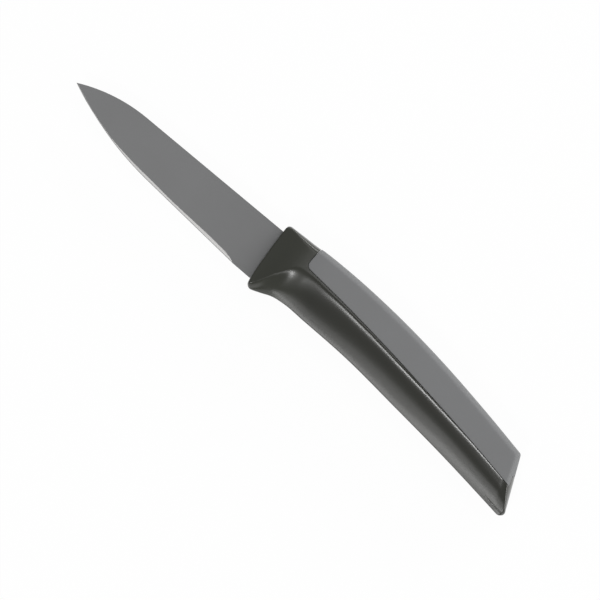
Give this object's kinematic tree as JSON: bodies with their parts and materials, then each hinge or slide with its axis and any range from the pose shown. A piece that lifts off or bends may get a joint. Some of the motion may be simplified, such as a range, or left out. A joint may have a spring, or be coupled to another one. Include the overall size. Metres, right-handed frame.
{
  "type": "paring knife",
  "caption": "Short kitchen knife with a coated steel blade, a black moulded handle and a grey soft-grip saddle over its back.",
  "frame": {"origin": "on the surface that the knife lies on, under the middle of its overall box", "axes": "+X from the tip to the butt, +Y from the cutting edge to the spine, +Z square to the side of the blade"},
  "size_m": [0.2124, 0.031, 0.0181],
  "materials": {
    "coated_steel": "satin dark grey non-stick coat, with a bare ground cutting bevel",
    "black_plastic": "semi-gloss black polypropylene",
    "grey_soft_grip": "matte grey soft-touch elastomer"
  },
  "bodies": {
    "root": {"blade": "coated_steel", "handle_core": "black_plastic", "soft_grip": "grey_soft_grip"}
  },
  "joints": []
}
